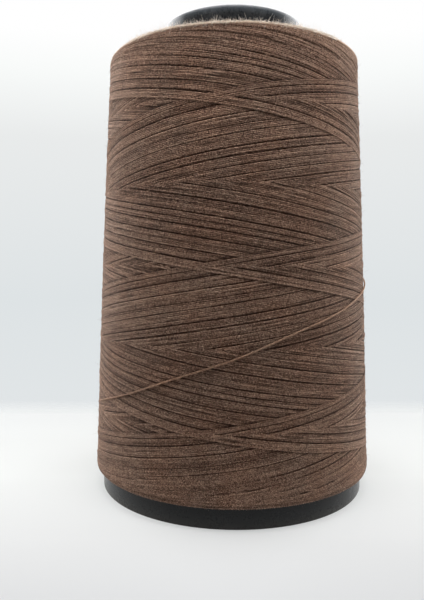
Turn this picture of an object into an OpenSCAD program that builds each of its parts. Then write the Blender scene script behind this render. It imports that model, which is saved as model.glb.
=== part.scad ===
// Cone of cross-wound sewing thread on a moulded plastic core with a projecting nose and a base flange.
// Millimetres. +Z is the cone's axis and points to the nose; the origin is the centre of the foot.

/* [Core] */
// Height of the whole core, from foot to nose
core_h = 125.4; // [120:0.2:150]
// Outer radius of the core's conical barrel at the foot
barrel_foot_r = 25.2; // [23:0.2:28]
// Outer radius of the barrel at the nose
nose_r = 19.2; // [18:0.2:21.6]
// Wall thickness of the moulding
wall = 1.6; // [1.2:0.1:2]
// Radius of the rounded lip round the nose
nose_lip_r = 0.6; // [0.4:0.1:2]
// Depth of the dish between the lip and the spindle hole
nose_dish = 1.4; // [0.8:0.2:2.4]

/* [Spindle hole] */
// Radius of the spindle hole in the nose
bore_r = 8; // [6:0.25:9]
// Length of the collar round the spindle hole
collar_len = 7; // [5:0.5:10]
// Width of the lead-in at the mouth of the spindle hole
bore_lead = 0.8; // [0.4:0.1:1.2]

/* [Stiffening fins] */
// Number of fins inside the barrel
fin_count = 6; // [4:1:8]
// Thickness of a fin
fin_t = 1.2; // [0.8:0.1:1.8]
// How far a fin stands in from the barrel's wall
fin_depth = 1.6; // [1:0.1:2.4]
// Height of the fins' lower ends above the foot
fin_lift = 3; // [1:0.5:10]
// Height over which a fin widens to reach the collar
fin_flare = 8; // [4:0.5:12]

/* [Base flange] */
// Radius of the flange
flange_r = 36.5; // [34:0.5:38]
// Height of the flange's outer rim
flange_h = 5.3; // [4.5:0.1:8]
// Rounding along the top edge of the rim
flange_edge = 0.6; // [0.3:0.1:1]
// Number of ribs under the flange
rib_count = 12; // [8:1:18]
// Thickness of a rib under the flange
rib_t = 1.1; // [0.8:0.1:1.6]
// How far the ribs stay above the surface that the foot stands on
rib_lift = 0.8; // [0.4:0.1:1.5]

/* [Thread-end slit] */
// Width of the slit in the flange's rim that holds the thread's end
slit_w = 0.6; // [0.55:0.05:1]
// Height of the rim that is left above the slit, under the flange
slit_roof = 0.5; // [0.3:0.1:1]
// Direction of the slit round the axis
slit_angle = 96; // [80:1:110]

/* [Grip grooves] */
// Number of grooves round the barrel that keep the thread from slipping
groove_count = 9; // [3:1:12]
// Depth of a groove
groove_depth = 0.3; // [0.2:0.05:0.5]
// Width of a groove
groove_w = 1.4; // [0.8:0.1:2]

/* [Thread package] */
// Radius of the wound mass at its lower edge
package_foot_r = 37.6; // [37:0.2:40]
// Radius of the wound mass at its upper edge
package_top_r = 32.9; // [30:0.2:35]
// Length of the wound mass along the axis
package_h = 110.2; // [95:0.2:112]
// Rounding of its two outer edges
package_round = 1.2; // [0.6:0.1:1.6]
// Depth by which its upper end dishes in towards the nose
package_dish = 1.6; // [0:0.2:3]
// Clearance between the wound mass and the barrel
package_fit = 0.1; // [0.05:0.05:0.3]

/* [Outer winding] */
// Diameter of the thread
thread_d = 0.4; // [0.35:0.05:0.5]
// Passes of the thread guide along the cone, alternately up and down
passes = 8; // [4:2:8]
// Turns round the axis in one pass
pass_turns = 2.875; // [2.125:0.25:2.875]
// Turn of the cone on each side of a turn-round in which the guide slows down
slow_turn = 0.25; // [0.2:0.05:0.4]
// Direction of the first turn-round at the lower edge
wind_angle = 253; // [240:1:266]
// Distance of the turn-rounds from each edge of the wound mass
edge_inset = 1.8; // [1.6:0.1:3]
// Gap between crossing threads
cross_gap = 0.44; // [0.42:0.01:0.6]
// Clearance between the threads and the wound mass
lay_fit = 0.08; // [0.05:0.01:0.2]

/* [Loose last turn] */
// Height above the wound mass's lower edge where the last turn comes out of it
last_h = 61; // [58:1:66]
// Direction where the last turn comes out of the wound mass
last_angle = 60; // [50:1:70]
// How much the last turn steepens on its way down, 1 being not at all
last_steepening = 1.1; // [1:0.02:1.3]
// Gap between the last turn and the threads that it crosses
last_gap = 0.12; // [0.08:0.01:0.2]
// Length of the thread's end inside the slit and the flange
tail_len = 4; // [3:0.5:6]

/* [Hidden] */

black = [0.07, 0.07, 0.08];
dark_brown = [0.30, 0.23, 0.20];
brown = [0.40, 0.31, 0.26];
pale_brown = [0.55, 0.44, 0.36];

eps = 0.01;
core_fn = 96;
arc_steps = 6;

// Core
barrel_top = core_h - nose_lip_r;
nose_floor = core_h - nose_dish;
cap_under = nose_floor - wall;
collar_r = bore_r + wall;
collar_foot = nose_floor - collar_len;
flange_under = flange_h - wall;
rim_inner_r = flange_r - wall;
slit_h = flange_under - slit_roof;

// Wound mass
package_foot = flange_h;
package_top = package_foot + package_h;
package_slope = (package_top_r - package_foot_r) / package_h;

// Every turn of thread has its rings in the same planes, so where two threads cross their layers stay apart
rings = 24;
sides = 6;
ring_angle = 360 / rings;
chord_sag = package_foot_r * (1 - cos(ring_angle / 2));
low_lay = lay_fit + chord_sag + thread_d / 2;
high_lay = low_lay + (thread_d + cross_gap) / cos(ring_angle / 2);
last_lay = high_lay + (thread_d + last_gap) / cos(ring_angle / 2);

// Steps along the winding are counted in rings from its first turn-round at the lower edge
pass_rings = pass_turns * rings;
wind_foot = package_foot + edge_inset;
wind_h = package_h - 2 * edge_inset;
slow_share = slow_turn / pass_turns;
climb_rings = rings / 8;
bend_steps = 4;
first_ring = -floor(pass_rings / 2);
last_ring = first_ring + passes * pass_rings - 2;

// Loose last turn. The rooms are the least shares of a ring's step left at its start and before its drop.
start_room = 0.3;
drop_room = 0.8;
last_z = package_foot + last_h;
tail_z = slit_h / 2;
tail_inner_r = flange_r - tail_len;
drop_z = package_foot + edge_inset;
drop_pull = 4;
drop_steps = 6;
rim_clear_r = flange_r + 2 * thread_d;
last_from = floor((last_angle - wind_angle) / ring_angle - start_room);
last_to = ceil((slit_angle - 360 - wind_angle) / ring_angle + drop_room);
last_rings = last_from - last_to;

// Points that the gaps are measured on, along each step, and a distance longer than a step
samples = 8;
reach = package_foot_r * PI * 2 / rings * 1.2;

function arc(cx, cz, r, from, to) = [
    for (i = [0 : arc_steps])
        let (a = from + (to - from) * i / arc_steps)
        [cx + r * cos(a), cz + r * sin(a)]
];
function barrel_r(z) = barrel_foot_r + (nose_r - barrel_foot_r) * z / barrel_top;
function inner_r(z) = barrel_r(z) - wall;
function package_r(z) = package_foot_r + package_slope * (z - package_foot);
function place(r, angle, z) = [r * cos(angle), r * sin(angle), z];
function unit(v) = v / norm(v);
function smooth(t) = let (u = min(1, max(0, t))) u * u * (3 - 2 * u);
function reversed(list) = [for (i = [len(list) - 1 : -1 : 0]) list[i]];

// Height along one pass, from 0 to 1: even, but slowing down at both turn-rounds
function slowing(t) = t * t / (2 * slow_share * (1 - slow_share));
function pass_height(t) =
    t < slow_share ? slowing(t) :
    t > 1 - slow_share ? 1 - slowing(1 - t) :
    (t - slow_share / 2) / (1 - slow_share);
function wind_z(k) =
    let (pass = floor(k / pass_rings), t = pass_height(k / pass_rings - pass))
    wind_foot + wind_h * (pass % 2 == 0 ? t : 1 - t);

// A thread on its way up lies low and one on its way down lies high: it changes layer as it turns round
function wind_lay(k) =
    let (turn = round(k / pass_rings), change = smooth(0.5 + (k - turn * pass_rings) / (2 * climb_rings)))
    low_lay + (high_lay - low_lay) * (turn % 2 == 0 ? 1 - change : change);
function wind_direction(k) = wind_angle + k * ring_angle;
function wind_point(k) =
    let (z = wind_z(k))
    place(package_r(z) + wind_lay(k), wind_direction(k), z);

// End of a thread: straight out of the wound mass for one diameter, then round into its layer
function end_run(angle, z, lay, way) =
    let (r0 = package_r(z), bend = lay - thread_d, bend_angle = 90 / bend_steps)
    concat(
        [place(r0 + eps, angle, z)],
        [
            for (i = [0 : bend_steps])
                let (turned = i * bend_angle, r = r0 + thread_d + bend * sin(turned))
                place(r, angle + way * bend * (1 - cos(turned)) / r * 180 / PI, z)
        ]
    );

winding_path = concat(
    end_run(wind_direction(first_ring - 0.5), wind_z(first_ring - 0.5), high_lay, 1),
    [for (k = [first_ring : last_ring]) wind_point(k)],
    reversed(end_run(wind_direction(last_ring + 0.5), wind_z(last_ring + 0.5), high_lay, -1))
);

// The last turn comes down over everything, then drops past the package's edge and turns in at the slit.
// Where the flange stands out further than the package, the turn swings out over it first.
function last_point(k) =
    let (
        z = last_z - (last_z - drop_z) * pow((last_from + 0.5 - k) / (last_rings + 0.5), last_steepening),
        r = package_r(z) + last_lay,
        swing = max(0, rim_clear_r - r) * smooth(1 - (k - last_to) / 2)
    )
    place(r + swing, wind_direction(k), z);
function curve(p, t) =
    pow(1 - t, 3) * p[0] + 3 * t * pow(1 - t, 2) * p[1] + 3 * t * t * (1 - t) * p[2] + pow(t, 3) * p[3];
drop_start = last_point(last_to);
drop_way = unit(drop_start - last_point(last_to + 1));
drop = [
    drop_start,
    drop_start + drop_pull * drop_way,
    place(flange_r + 5 * thread_d, slit_angle, tail_z),
    place(flange_r + thread_d, slit_angle, tail_z)
];
last_path = concat(
    end_run(last_angle, last_z, last_lay, -1),
    [for (k = [last_from : -1 : last_to]) last_point(k)],
    [for (i = [1 : drop_steps]) curve(drop, i / drop_steps)],
    [place(tail_inner_r, slit_angle, tail_z)]
);

// Least distance between threads whose steps lie in the same sector, measured on points along them
function on_step(path, k, i) = path[k] + (path[k + 1] - path[k]) * i / samples;
function least_gap() =
    let (path = [for (k = [first_ring : last_ring]) wind_point(k)], steps = len(path) - 1)
    min([
        for (s = [0 : rings - 1], a = [s : rings : steps - 1], b = [a + rings : rings : steps - 1])
            for (i = [0 : samples], j = [max(0, i - 1) : min(samples, i + 1)])
                norm(on_step(path, a, i) - on_step(path, b, j))
    ]) - thread_d;
function least_gap_between(path_a, path_b) =
    min([
        for (a = [0 : len(path_a) - 2], b = [0 : len(path_b) - 2])
            if (norm(path_a[a] - path_b[b]) < reach)
                for (i = [0 : samples], j = [0 : samples])
                    norm(on_step(path_a, a, i) - on_step(path_b, b, j))
    ]) - thread_d;
echo("least gap of the outer winding to itself, mm", least_gap());
echo("least gap of the last turn to the outer winding, mm", least_gap_between(last_path, winding_path));

// Tube along a path: rings of points square to the mean direction, closed at both ends
function heading(path, i) = unit(path[min(i + 1, len(path) - 1)] - path[max(i - 1, 0)]);
function ring_at(path, i, d) =
    let (way = heading(path, i), up = unit([0, 0, 1] - way.z * way), side = cross(way, up))
    [for (j = [0 : sides - 1]) path[i] + d / 2 * (cos(j * 360 / sides) * side + sin(j * 360 / sides) * up)];
module tube(path, d) {
    last = (len(path) - 1) * sides;
    points = [for (i = [0 : len(path) - 1]) each ring_at(path, i, d)];
    walls = [
        for (i = [0 : len(path) - 2], j = [0 : sides - 1])
            let (a = i * sides + j, b = i * sides + (j + 1) % sides)
            each [[a, b, b + sides], [a, b + sides, a + sides]]
    ];
    caps = [for (j = [1 : sides - 2]) each [[0, j + 1, j], [last, last + j, last + j + 1]]];
    polyhedron(points, concat(walls, caps));
}

// Barrel, nose and flange as one revolved section
module core_shell() {
    rotate_extrude($fn = core_fn)
        polygon(concat(
            [
                [inner_r(0), 0],
                [barrel_foot_r, 0],
                [barrel_r(flange_under), flange_under],
                [rim_inner_r, flange_under],
                [rim_inner_r, 0],
                [flange_r, 0]
            ],
            arc(flange_r - flange_edge, flange_h - flange_edge, flange_edge, 0, 90),
            [[barrel_r(flange_h), flange_h]],
            arc(nose_r - nose_lip_r, barrel_top, nose_lip_r, 0, 90),
            arc(nose_r - nose_lip_r, nose_floor, nose_dish, 100, 180),
            [
                [bore_r + bore_lead, nose_floor],
                [bore_r, nose_floor - bore_lead],
                [bore_r, collar_foot],
                [collar_r, collar_foot],
                [inner_r(cap_under), cap_under]
            ]
        ));
}

// Thin upright plate that reaches out from the axis, given as an outline of radius and height
module upright(outline, t) {
    rotate([90, 0, 0])
        linear_extrude(t, center = true)
            polygon(outline);
}

module fins() {
    flare_foot = collar_foot - fin_flare;
    lead_top = fin_lift + 2 * fin_depth;
    outline = [
        [inner_r(fin_lift) + wall / 2, fin_lift],
        [inner_r(fin_lift), fin_lift],
        [inner_r(lead_top) - fin_depth, lead_top],
        [inner_r(flare_foot) - fin_depth, flare_foot],
        [collar_r - wall / 2, collar_foot + wall / 2],
        [inner_r(cap_under) + wall / 2, cap_under + wall / 2]
    ];
    for (i = [0 : fin_count - 1])
        rotate(i * 360 / fin_count)
            upright(outline, fin_t);
}

module flange_ribs() {
    outline = [
        [barrel_r(rib_lift) - wall / 2, rib_lift],
        [flange_r - wall / 2, rib_lift],
        [flange_r - wall / 2, flange_h - wall / 2],
        [barrel_r(rib_lift) - wall / 2, flange_h - wall / 2]
    ];
    for (i = [0 : rib_count - 1])
        rotate(slit_angle + (i + 0.5) * 360 / rib_count)
            upright(outline, rib_t);
}

module grip_grooves() {
    step = package_h / (groove_count + 1);
    for (i = [1 : groove_count]) {
        z = package_foot + i * step;
        rotate_extrude($fn = core_fn)
            translate([barrel_r(z) - groove_depth, z - groove_w / 2])
                square([groove_depth + wall, groove_w]);
    }
}

module thread_end_slit() {
    rotate(slit_angle)
        translate([rim_inner_r - wall, -slit_w / 2, -eps])
            cube([3 * wall, slit_w, slit_h + eps]);
}

module cone_core() {
    color(black)
        difference() {
            union() {
                core_shell();
                fins();
                flange_ribs();
            }
            grip_grooves();
            thread_end_slit();
        }
}

module thread_package() {
    inner_top = package_top - package_dish;
    color(dark_brown)
        rotate_extrude($fn = core_fn)
            polygon(concat(
                [[barrel_r(package_foot) + package_fit, package_foot]],
                arc(package_foot_r - package_round, package_foot + package_round, package_round, -90, 0),
                arc(package_top_r - package_round, package_top - package_round, package_round, 0, 90),
                [[barrel_r(inner_top) + package_fit, inner_top]]
            ));
}

module outer_winding() {
    color(brown)
        tube(winding_path, thread_d);
}

module loose_last_turn() {
    color(pale_brown)
        tube(last_path, thread_d);
}

cone_core();
thread_package();
outer_winding();
loose_last_turn();
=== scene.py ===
"""Looks of a cone of cross-wound sewing thread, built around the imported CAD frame.

The winding is made as a winder makes it: one long thread is laid pass after pass on a height field of the
package, each new turn resting on the turns under it. Only the stretches that end up on top become tubes.
Lengths are millimetres until a mesh is made. Angles run round the cone's axis from +X towards +Y.
"""
import math

import bpy
import numpy as np
from mathutils import Matrix, Vector

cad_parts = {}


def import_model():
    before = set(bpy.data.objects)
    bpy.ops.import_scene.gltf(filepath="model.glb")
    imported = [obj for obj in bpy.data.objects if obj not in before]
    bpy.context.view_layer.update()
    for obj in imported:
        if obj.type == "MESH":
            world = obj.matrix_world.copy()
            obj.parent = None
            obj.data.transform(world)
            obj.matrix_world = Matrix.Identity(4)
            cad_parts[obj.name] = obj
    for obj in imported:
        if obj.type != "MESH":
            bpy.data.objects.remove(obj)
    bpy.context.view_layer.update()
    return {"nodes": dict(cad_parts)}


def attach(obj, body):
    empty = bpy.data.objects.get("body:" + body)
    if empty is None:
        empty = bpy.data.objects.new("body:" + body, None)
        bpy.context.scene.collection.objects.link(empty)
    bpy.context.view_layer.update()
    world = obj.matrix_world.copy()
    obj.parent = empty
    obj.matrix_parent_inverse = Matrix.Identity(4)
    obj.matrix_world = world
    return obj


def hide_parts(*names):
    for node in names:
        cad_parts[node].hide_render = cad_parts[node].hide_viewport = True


MM = 0.001
SEED = 6710
FULL_TURN = 2 * np.pi

# Package of thread, at the outermost threads. Its upper end is dished, and its wall swells half-way up.
FOOT_Z = 5.3
TOP_Z = 115.4
FOOT_R = 38.3
TOP_R = 33.8
FOOT_ROUND = 0.9
TOP_ROUND = 0.4
TOP_DISH = 1.6
BELLY = 0.28
WALL_TILT = (FOOT_R - TOP_R) / (TOP_Z - FOOT_Z)

# Core, as in the CAD model
BARREL_FOOT_R = 25.2
BARREL_TOP_R = 19.2
BARREL_TOP_Z = 124.8
FLANGE_R = 36.5
CORE_TOP = 125.4

# Winding: climb in one turn, the crossing in front, the turns of one pass of the thread guide, and where it
# turns back the rounding, in turns, and the spread of heights
PITCH = 38.1
CROSSING_Z = 60.5
CROSSING_ANGLE = 253.0
PASS_TURNS = 3
TURN_ROUND = 0.15
TURN_JITTER = 0.8

# Turns side by side. Open grooves lie between bundles of some turns, and are wider than the other gaps.
COVERED_CYCLES = 2.2
MEAN_STEP = 0.43
CLOSE_STEP = (0.37, 0.43)
GROOVE_EVERY = (3, 9)
GROOVE_EXTRA = (0.04, 0.42)

# Wander of the turns up and down, which fades out near the edges. Neighbours share a part of it. Unevenness
# along the thread, here and below, is an amount and the samples from one random value to the next.
WANDER_SHARED = 0.05
WANDER_ROWS = 60
WANDER_STEPS = (2, 62)
WANDER_OWN = (0.03, 40)
WANDER_EDGE = 0.8
WANDER_FADE = 4

# Thread: half its width and half its thickness once it is wound under tension. Where it rests on its
# neighbours it gives way at its sides, which leaves a narrower part to carry it. Settled heights count from
# a little under the package's profile.
HALF_W = 0.21
HALF_T = 0.17
CARRIED_HALF_W = 0.183
PROFILE_DROP = 0.6 * HALF_T
PLY_PITCH = 1.25
PLIES = 3

# Height field of the package. A thread bridges and smooths what is under it, over this many samples, and
# sinks in a little.
COLUMNS = 930
COLUMN_WIDTH = 0.25
CELL = 0.08
MARGIN = 1.0
BRIDGE = 2
BLUR = 3.2
BLUR_REACH = 3
SINK = 0.05

# Relief that is left once the package has settled, and crowns from which a groove's depth counts
RELIEF_BLUR_Z = 1.0
RELIEF_BLUR_AROUND = 3.0
RELIEF_SHARE = 0.6
RELIEF_LIMIT = 0.2
CROWN_BLUR_Z = 0.5
CROWN_BLUR_AROUND = 1.2
EDGE_CALM = 0.5
EDGE_CALM_WIDTH = 10.0
LEAST_WEIGHT = 1e-3

# Tubes made of the thread that stays in view: samples from ring to ring, and samples added at both ends
TUBE_SIDES = 6
RING_STEP = 6
RUN_ROOM = 5
SEEN_CROWN = 0.45
SEEN_SLACK = 0.015
PIECE_TRIANGLES = 150000

# Unevenness of the thread's thickness, and of its tone over passes, from pass to pass and along a pass
THICKNESS = (0.05, 30)
MEAN_TONE = 0.5
BUNDLE_TONE = (0.02, 9)
PASS_TONE = 0.08
SLOW_TONE = (0.02, 420)

# Turns on the end faces, angles in radians
END_STEP = 0.34
END_ARC = (0.9, 2.8)
END_OVERLAP = 0.25
END_LAP = 0.15
END_LEAST_RINGS = 6
END_RING_STEP = 1.3
END_DIP = 0.7
END_DIP_LENGTH = 5.0
END_UNEVEN = 0.12
END_STRAY = (0.05, 5)
END_TONE = 0.05
# Tone added to the turns on the top's rounded edge: a painted highlight
TOP_EDGE_HIGHLIGHT = 0.6
TOP_END_GAP = 0.4
FOOT_END_LAP = 1.2
FOOT_END_LIFT = 0.02

# Older turns: depth under the wall and the end faces, clearance to the barrel, and the mesh's cells
UNDER_TURNS = 0.7
UNDER_FOOT = 0.35
UNDER_TOP = 0.45
PACKED_FIT = 0.12
PACKED_ROWS = 90
PACKED_COLUMNS = 180

# Stray fibres: count, lengths, radii, on a rim the width of their band on the end face, and how straight they
# stand out. A share of a rim's fibres is on its rounded edge.
WALL_FUZZ = (9000, (0.3, 1.3), (0.010, 0.018), 0.35)
WALL_CUT = (0.5, 1.0)
WALL_EDGE = 0.3
WALL_ROOT = 0.03
TOP_NAP = (24000, (0.18, 0.38), (0.034, 0.052), 0.35, 1.0)
TOP_HAIRS = (3800, (0.5, 1.3), (0.018, 0.028), 1.2, 0.45)
FOOT_NAP = (5000, (0.15, 0.35), (0.014, 0.024), 0.2, 0.6)
RIM_ROOT = 0.04
RIM_ROUND_SHARE = 0.6
FIBRE_SIDES = 3
FIBRE_CURL = 1.6
FIBRE_TAPER = 0.7
FIBRE_LIFT = 1.6

# Fibres at the left and the right of a rim, where the sine of the angle is small, are worn to this share
WORN_LENGTH = 0.3
WORN_SINE = 0.5
WHOLE_SINE = 0.8

# Places of a fibre's rings along it
NAP_STEPS = (0.0, 1.0)
HAIR_STEPS = (0.0, 0.4, 0.75, 1.0)

# Loose last turn: angle in degrees, height, and lift off the turns under it, of the points on its way
LAST_TURN = (
    (60, 66.3, -0.45), (50, 64.9, 0.1), (0, 58.0, 0.27), (-15, 55.4, 0.27), (-30, 52.9, 0.25),
    (-42, 50.4, 0.23), (-67, 45.4, 0.22), (-90, 39.5, 0.22), (-110, 34.9, 0.2), (-133, 29.3, 0.1),
    (-157, 24.9, -0.15), (-200, 17.2, 0.1), (-254, 7.4, 0.15),
)

# Its steps and bridges in degrees, its radius, smaller between the plies, and its tone, paler to the right as
# painted light, and depths from its waists to its crowns for painted shade between the plies
LAST_STEP = 0.2
LAST_UNDER = (-2, -1, 0, 1, 2)
LAST_BRIDGE = 4.0
LAST_BRIDGE_STEP = 4
LAST_RADIUS = 0.21
LAST_SIDES = 12
LAST_WAIST = 0.74
LAST_SLUB = (0.06, 25)
LAST_TONE = 0.55
LAST_SLOW_TONE = (0.06, 60)
LAST_PALER = 0.15
LAST_LOBE_DEPTH = (-0.1, 0.1)

# Its end, which drops past the package's edge and goes into the slit in the flange
SLIT_ANGLE = 96.0 - 360.0
SLIT_Z = 1.6
DROP_PULL = 4
DROP_BULGE = 1.6
DROP_END = 0.5
DROP_RINGS = 70
TAIL_LENGTH = 4
TAIL_RINGS = 30
TAIL_TURN_RINGS = 12


def srgb(*levels):
    """Linear colour of a colour given in 0-255 display levels."""
    return tuple(((c / 255 + 0.055) / 1.055) ** 2.4 if c > 10 else c / 255 / 12.92 for c in levels)


# Thread: colours by tone, change of hue, and painted shade, darker from the crowns down into the grooves and
# down each thread's lower flank
THREAD_STOPS = ((0.0, srgb(43, 28, 21)), (0.5, srgb(114, 85, 70)), (1.0, srgb(198, 165, 142)))
# The last turn's colours are the thread's, painted paler: painted light on the loose turn
LAST_STOPS = ((0.0, srgb(100, 71, 55)), (0.5, srgb(152, 119, 98)), (1.0, srgb(204, 168, 142)))
HUE_STOPS = ((0.0, (1.0, 0.95, 0.92)), (1.0, (0.97, 1.0, 1.02)))
PAINTED_SHADE_STOPS = ((0.0, (1.0, 1.0, 1.0)), (1.0, (0.2, 0.145, 0.115)))
CROWN_DEPTH = -0.04
DEEP_DEPTH = 0.13
THREAD_SHEEN = 0.2
LAST_SHEEN = 0.4
SHEEN_TINT = srgb(216, 192, 172)

# Thread's pattern: scales of noise, and how far each moves the tone. Flecks use the thread's own map, and
# lint is the few highest peaks of its noise. The ply shades are painted shade in the waists between the
# twisted plies.
PLY_SHADE = 0.4
LAST_PLY_SHADE = 0.35
PLY_UNEVEN_SCALE = 0.6
FLECKS = (3.0, 2.5)
FLECK_TONE = 0.3
FUZZ_SCALE = 6000.0
FUZZ_TONE = 0.6
LINT_SCALE = 2000.0
LINT_PEAKS = (0.78, 0.82)
LINT_TONE = 0.8
BLOTCH_SCALE = 240.0
WIDE_SCALE = 38.0
BLOTCH_TONE = 0.04
HUE_SCALE = 110.0
THREAD_BUMP = 0.00006
PLY_BUMP = 0.7
FUZZ_BUMP = 0.6

# Middle part of a noise's values, which holds most of them
NOISE_MIDDLE = (0.3, 0.7)

# Older turns, painted darker than the thread as painted shade deep in the package, and stray fibres: colours
# by tone
PACKED_SCALE = 3000.0
PACKED_BUMP = 0.0001
FIBRE_SCALE = 900.0
PACKED_SHADE_STOPS = ((0.0, srgb(34, 25, 21)), (1.0, srgb(78, 61, 50)))
HAIR_STOPS = ((0.0, srgb(96, 78, 66)), (1.0, srgb(176, 152, 132)))
# Fibres of the top rim, painted near white: painted light on the rim's bright edge
RIM_LIT_HAIR_STOPS = ((0.0, srgb(226, 206, 186)), (1.0, srgb(255, 246, 234)))

# Core: colours by tone, and by share of the height painted light added to them: a painted reflection of the
# floor that makes the flange's foot paler, and a painted highlight on the nose's lip
CORE_STOPS = ((0.0, srgb(8, 9, 10)), (0.6, srgb(18, 19, 21)), (1.0, srgb(78, 76, 74)))
PAINTED_LIGHT_STOPS = (
    (0.0, srgb(62, 60, 57)),
    (0.014, srgb(30, 30, 29)),
    (0.03, (0, 0, 0)),
    (0.983, (0, 0, 0)),
    (0.994, srgb(46, 51, 55)),
    (0.996, srgb(92, 95, 98)),
    (1.0, srgb(104, 107, 110)),
)
GRAIN_SCALE = 2600.0
CLOUD_SCALE = 70.0
DUST_SCALE = 7000.0
DUST_PEAKS = (0.74, 0.78)
DUST_TONE = 0.5
RUB_SCALE = 420.0
CORE_BUMP = 0.00002

# Floor: edges, turn in degrees, fade of the back edge, and colours from near to far, with painted light and
# shade: brightest near the object, darker at the front and towards the back
FLOOR_HALF_WIDTH = 600.0
FLOOR_FRONT = -600.0
FLOOR_BACK = 80.0
FLOOR_TURN = 3.0
FLOOR_FADE = 12.0
FLOOR_NEAR = -70.0
FLOOR_FAR = 84.0
FLOOR_STOPS = (
    (0.03, srgb(211, 212, 213)),
    (0.19, srgb(226, 227, 227)),
    (0.44, srgb(233, 235, 234)),
    (0.66, srgb(224, 226, 225)),
    (1.0, srgb(217, 219, 219)),
)
FLOOR_LIFT = 0.5
FLOOR_GLOW = 1.1

# Room: what the camera sees from down to up, and the light on the object, which is weaker in front
BACKDROP = (
    (0.0, srgb(238, 239, 240)),
    (0.47, srgb(222, 227, 229)),
    (0.60, srgb(233, 235, 235)),
    (0.65, srgb(249, 251, 250)),
    (0.675, srgb(255, 255, 255)),
)
ROOM_LIGHT = ((0.0, srgb(205, 208, 212)), (0.5, srgb(188, 192, 198)), (1.0, srgb(255, 255, 255)))
ROOM_STRENGTH = 0.19
ROOM_FRONT_SHADE = 0.3
ROOM_FRONT = (-0.8, 0.2)

# Softboxes: angle in degrees, distance, height and size in metres, power in watts, height that they aim at
SOFTBOXES = {
    "left_softbox": (152.0, 0.55, 0.14, (0.5, 0.6), 5.8, 0.06),
    "right_softbox": (28.0, 0.55, 0.17, (0.5, 0.6), 4.8, 0.06),
    "overhead_softbox": (90.0, 0.20, 0.40, (0.5, 0.4), 0.8, 0.06),
    "rim_softbox": (270.0, 0.055, 0.19, (0.14, 0.05), 0.13, 0.115),
    "front_top_softbox": (270.0, 0.11, 0.27, (0.3, 0.08), 0.24, 0.06),
}

# Camera, angles in degrees and place in metres
CAMERA_PLACE = (0.0, -0.1682, 0.0613)
CAMERA_LENS = 35.16
CAMERA_YAW = -1.94
CAMERA_PITCH = 3.55
CAMERA_ROLL = -0.19
SENSOR = 36
CLIP = (0.01, 10)

# Texture strips for baking, in pixels of a square picture
BAKE_SIZE = 1024
STRIP_ROW = 10
STRIP_EDGE = 1
CAP_RADIUS_BAKE = 2 / BAKE_SIZE
CAP_RADIUS_ALONG = 0.1


# ------------ noise and small helpers

def blend01(t):
    """Smooth step from 0 to 1."""
    u = np.clip(t, 0, 1)
    return u * u * (3 - 2 * u)


def line_noise(rng, count, amount, step):
    """Smooth random values along a line, with a new random value every step samples."""
    coarse = rng.standard_normal(count // step + 3)
    x = np.arange(count) / step
    i = x.astype(int)
    f = blend01(x - i)
    return amount * (coarse[i] * (1 - f) + coarse[i + 1] * f)


def sheet_noise(rng, rows, cols, row_step, col_step):
    """Smooth random values on a sheet that closes on itself along its columns."""
    coarse = rng.standard_normal((rows // row_step + 3, cols // col_step))
    coarse = np.concatenate([coarse, coarse[:, :1]], axis=1)
    r = np.linspace(0, coarse.shape[0] - 1.001, rows)
    c = np.linspace(0, coarse.shape[1] - 1.001, cols)
    r0, c0 = r.astype(int), c.astype(int)
    fr, fc = blend01(r - r0)[:, None], blend01(c - c0)
    low, high = (coarse[r][:, c0] * (1 - fc) + coarse[r][:, c0 + 1] * fc for r in (r0, r0 + 1))
    return low * (1 - fr) + high * fr


def blurred(field, sigma_rows, sigma_cols):
    """Gaussian blur of a sheet that closes on itself along its columns."""
    rows, cols = field.shape
    fr = np.fft.fftfreq(rows * 2)[:, None]
    fc = np.fft.fftfreq(cols)[None, :]
    keep = np.exp(-2 * np.pi ** 2 * ((fr * sigma_rows) ** 2 + (fc * sigma_cols) ** 2))
    mirrored = np.concatenate([field, field[::-1]], axis=0)
    return np.real(np.fft.ifft2(np.fft.fft2(mirrored) * keep))[:rows]


def corner_drop(inset, edge_round):
    """How far a rounded edge lies inside the wall, at a distance from the end face."""
    corner = np.clip(edge_round - inset, 0, edge_round)
    return edge_round - np.sqrt(edge_round ** 2 - corner ** 2)


def package_radius(z):
    """Radius of the package's outermost threads: slightly barrelled, with rounded edges."""
    share = (z - FOOT_Z) / (TOP_Z - FOOT_Z)
    r = FOOT_R + (TOP_R - FOOT_R) * share + BELLY * np.sin(np.pi * np.clip(share, 0, 1))
    return r - corner_drop(z - FOOT_Z, FOOT_ROUND) - corner_drop(TOP_Z - z, TOP_ROUND)


def barrel_radius(z):
    """Outer radius of the core's barrel."""
    return BARREL_FOOT_R + (BARREL_TOP_R - BARREL_FOOT_R) * z / BARREL_TOP_Z


# ------------ winding

def turn_shifts(rng, count):
    """Distances of the turns from the newest one: close bundles with open grooves between them."""
    steps = rng.uniform(*CLOSE_STEP, count)
    k = rng.integers(*GROOVE_EVERY) // 2
    while k < count:
        steps[k] += rng.uniform(*GROOVE_EXTRA)
        k += rng.integers(*GROOVE_EVERY)
    return np.concatenate([[0], np.cumsum(steps)[:-1]])


def thread_passes(rng):
    """Start, end and way (1 is up) of each pass of the guide, oldest first, in columns round the cone."""
    count = int(COVERED_CYCLES * PITCH / MEAN_STEP)
    up, down = turn_shifts(rng, count), turn_shifts(rng, count)
    down *= up[-1] / down[-1]
    half = PASS_TURNS / 2 * COLUMNS
    passes = []
    for g in range(count - 1, -1, -1):
        for way, shift in ((1, up[g]), (-1, down[g])):
            start = CROSSING_ANGLE / 360 * COLUMNS - half + shift / PITCH * COLUMNS
            if passes:
                start += round((passes[-1][1] - start) / COLUMNS) * COLUMNS
            passes.append((start, start + 2 * half, way))
    return passes


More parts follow.
